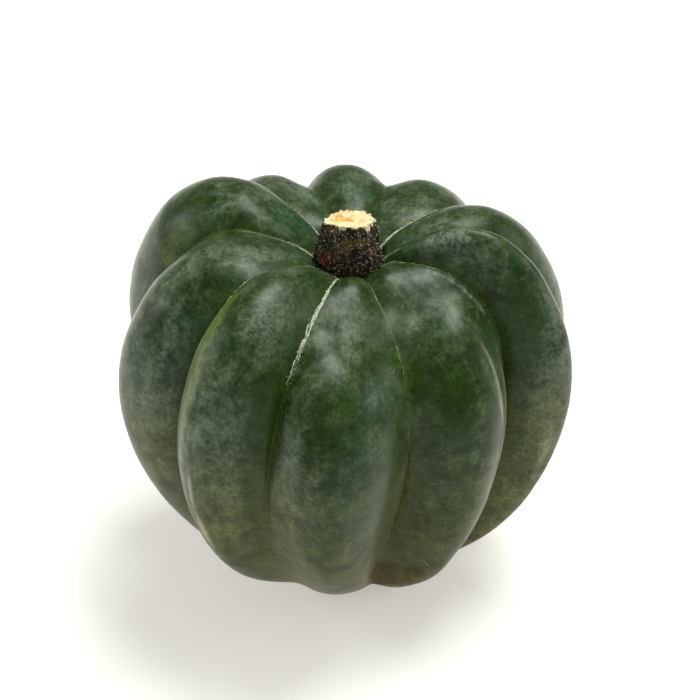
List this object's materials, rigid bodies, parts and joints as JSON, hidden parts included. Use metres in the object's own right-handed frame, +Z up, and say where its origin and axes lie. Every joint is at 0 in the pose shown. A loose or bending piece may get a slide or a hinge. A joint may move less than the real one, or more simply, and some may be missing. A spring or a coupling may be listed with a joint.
{
  "type": "kabocha squash",
  "caption": "Whole dark green winter squash, round and deeply ribbed, with a short cut woody stem, standing on its blossom end.",
  "frame": {"origin": "middle of the blossom scar, on the surface that the squash stands on", "axes": "+Z up along the stem, -Y towards the lobe that faces the viewer in the picture, +X to the viewer's right"},
  "size_m": [0.1349, 0.1256, 0.1314],
  "materials": {
    "rind": "waxy dark green rind, satin, with a grey-white bloom",
    "bark": "dry dark fibrous stem, matt, with a pale cut face"
  },
  "bodies": {
    "root": {"fruit": "rind", "stem": "bark"}
  },
  "joints": []
}
